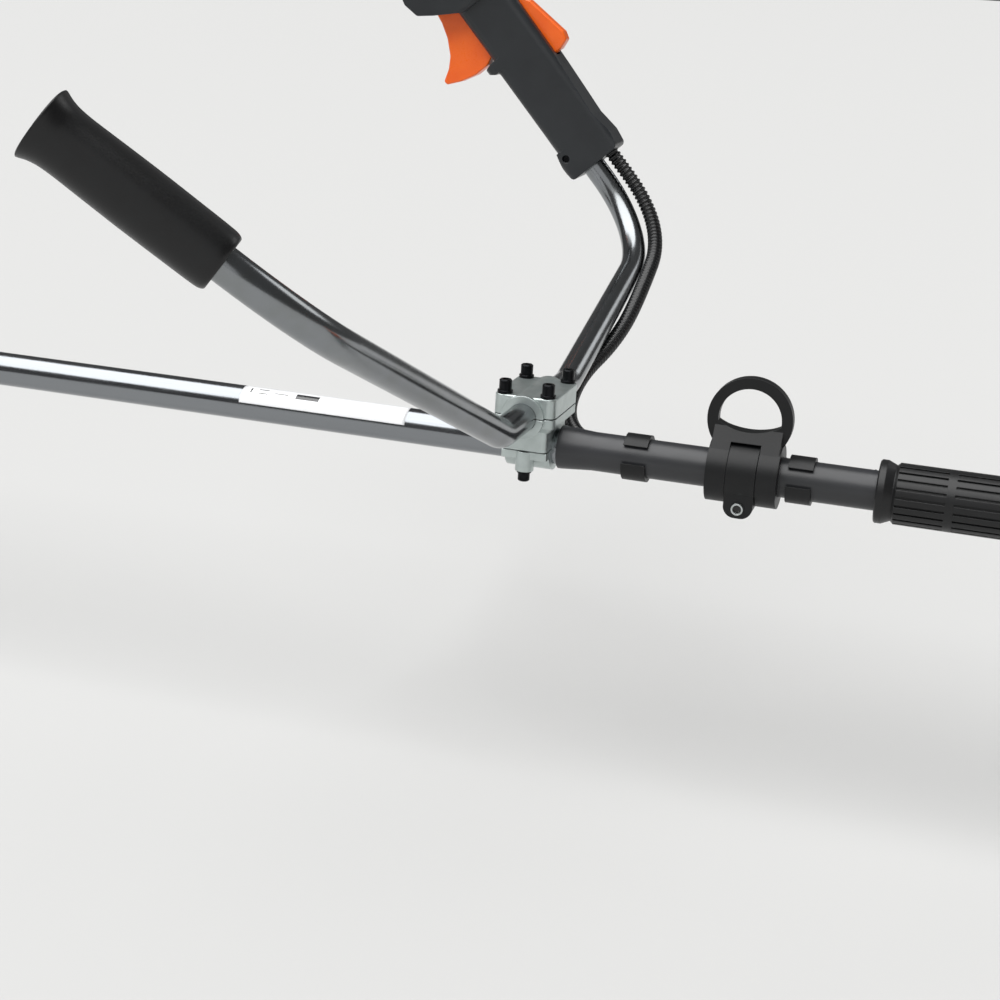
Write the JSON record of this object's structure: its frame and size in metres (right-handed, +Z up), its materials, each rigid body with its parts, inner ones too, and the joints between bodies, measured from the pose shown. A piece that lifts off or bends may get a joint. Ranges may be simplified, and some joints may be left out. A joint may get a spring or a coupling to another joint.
{
  "type": "string trimmer",
  "caption": "Petrol string trimmer: straight drive tube, handlebars with throttle grip, harness eye, rear engine and a bump-feed line head under a guard.",
  "frame": {"origin": "middle of the harness eye, 44.5 mm above the drive tube axis", "axes": "+X along the drive tube towards the cutting head, +Y to the operator's left, +Z up when the tube is level"},
  "size_m": [1.7697, 0.7671, 0.4962],
  "materials": {
    "bare_aluminium": "drawn and lightly polished tube",
    "cast_aluminium": "die-cast, matte",
    "grey_aluminium": "die-cast, bead blasted",
    "steel": "turned steel",
    "black_steel": "black oxide",
    "zinc_steel": "zinc plated",
    "black_plastic": "moulded nylon, fine texture",
    "charcoal_plastic": "moulded nylon, satin",
    "orange_plastic": "moulded, semi-gloss",
    "black_rubber": "soft rubber, matte",
    "white_plastic": "translucent blow-moulded",
    "nylon_line": "extruded nylon",
    "rope": "braided cord"
  },
  "bodies": {
    "root": {"drive_tube": "bare_aluminium", "shaft_bushes": "black_rubber", "tube_sleeve": "charcoal_plastic", "cable_clips": "black_plastic", "ribbed_sleeve": "black_rubber", "clamp_cap": "cast_aluminium", "clamp_block": "cast_aluminium", "clamp_lower": "cast_aluminium", "cap_screws": "black_steel", "lower_screws": "black_steel", "cable_conduit": "black_plastic", "gear_housing": "grey_aluminium", "ball_bearings": "steel", "housing_screws": "black_steel", "deflector": "black_plastic", "line_blade": "steel", "clutch_housing": "grey_aluminium", "fan_housing": "grey_aluminium", "crankcase": "grey_aluminium", "cylinder": "grey_aluminium", "spark_plug": "black_rubber", "engine_shroud": "orange_plastic", "carburettor": "grey_aluminium", "air_filter_cover": "black_plastic", "muffler": "black_steel", "starter_cover": "black_plastic", "starter_rope": "rope", "fuel_tank": "white_plastic", "tank_guard": "black_plastic"},
    "harness": {"harness_carrier": "black_plastic", "harness_strap": "black_plastic", "harness_screw": "zinc_steel"},
    "handlebar": {"handlebar_tube": "bare_aluminium", "left_grip": "black_rubber", "control_shell_right": "charcoal_plastic", "control_shell_left": "charcoal_plastic", "control_pins": "steel", "control_screws": "black_steel"},
    "trigger": {"throttle_trigger": "orange_plastic"},
    "lockout": {"throttle_lockout": "orange_plastic"},
    "switch": {"stop_switch": "orange_plastic"},
    "drive_line": {"drive_shaft": "steel", "drive_pinion": "steel", "clutch_drum": "steel"},
    "cutting_head": {"output_spindle": "steel", "bevel_gear": "steel", "thrust_plate": "steel", "head_body": "black_plastic", "head_cover": "orange_plastic", "line_eyelets": "steel", "cutting_lines": "nylon_line", "spool_spring": "steel"},
    "knob": {"bump_knob": "black_plastic"},
    "spool": {"line_spool": "white_plastic"},
    "crank": {"crankshaft": "steel", "flywheel": "grey_aluminium", "clutch_shoes": "steel"},
    "starter": {"starter_grip": "black_plastic"},
    "cap": {"fuel_cap": "black_plastic"},
    "choke": {"choke_lever": "charcoal_plastic"}
  },
  "joints": [
    {"name": "harness_slide", "type": "slide", "parent": "root", "child": "harness", "axis": [1, 0, 0], "range_m": [-0.004, 0.04]},
    {"name": "handlebar_tilt", "type": "hinge", "parent": "root", "child": "handlebar", "pos_m": [0.151, 0, -0.0184], "axis": [0, 1, 0], "range_deg": [-10, 10], "deforming": ["cable_conduit"]},
    {"name": "trigger_pull", "type": "hinge", "parent": "handlebar", "child": "trigger", "pos_m": [0.34494, -0.33677, 0.23794], "axis": [-0.0167, 0.9997, -0.0188], "range_deg": [0, 18], "stiffness_Nm_per_rad": 0.3, "springref_deg": -20.05},
    {"name": "lockout_press", "type": "hinge", "parent": "handlebar", "child": "lockout", "pos_m": [0.29214, -0.33753, 0.24486], "axis": [0.0167, -0.9997, 0.0188], "range_deg": [0, 6], "stiffness_Nm_per_rad": 0.4, "springref_deg": -11.46},
    {"name": "stop_slide", "type": "slide", "parent": "handlebar", "child": "switch", "axis": [0.6656, 0.0251, 0.7459], "range_m": [0, 0.006]},
    {"name": "head_spin", "type": "hinge", "parent": "root", "child": "cutting_head", "pos_m": [1.136, 0, -0.0445], "axis": [-0.5299, 0, 0.848], "continuous": true},
    {"name": "drive_spin", "type": "hinge", "parent": "root", "child": "drive_line", "pos_m": [1.136, 0, -0.0445], "axis": [1, 0, 0], "continuous": true},
    {"name": "bump_press", "type": "slide", "parent": "cutting_head", "child": "knob", "axis": [-0.5299, 0, 0.848], "range_m": [0, 0.006], "stiffness_N_per_m": 900, "springref_m": -0.012, "deforming": ["spool_spring"]},
    {"name": "spool_turn", "type": "hinge", "parent": "knob", "child": "spool", "pos_m": [1.136, 0, -0.0445], "axis": [-0.5299, 0, 0.848], "continuous": true},
    {"name": "crank_spin", "type": "hinge", "parent": "root", "child": "crank", "pos_m": [-0.365, 0, -0.0445], "axis": [1, 0, 0], "continuous": true},
    {"name": "starter_pull", "type": "slide", "parent": "root", "child": "starter", "axis": [0, 0.7071, 0.7071], "range_m": [0, 0.3], "stiffness_N_per_m": 6, "springref_m": -0.3, "deforming": ["starter_rope"]},
    {"name": "fuel_cap_turn", "type": "hinge", "parent": "root", "child": "cap", "pos_m": [-0.341, 0, -0.1245], "axis": [0, 1, 0], "continuous": true},
    {"name": "choke_turn", "type": "hinge", "parent": "root", "child": "choke", "pos_m": [-0.332, 0.062, -0.0005], "axis": [1, 0, 0], "range_deg": [0, 60]}
  ],
  "couplings": [
    {"joint": "drive_spin", "follows": "head_spin", "ratio": 1.3333}
  ]
}
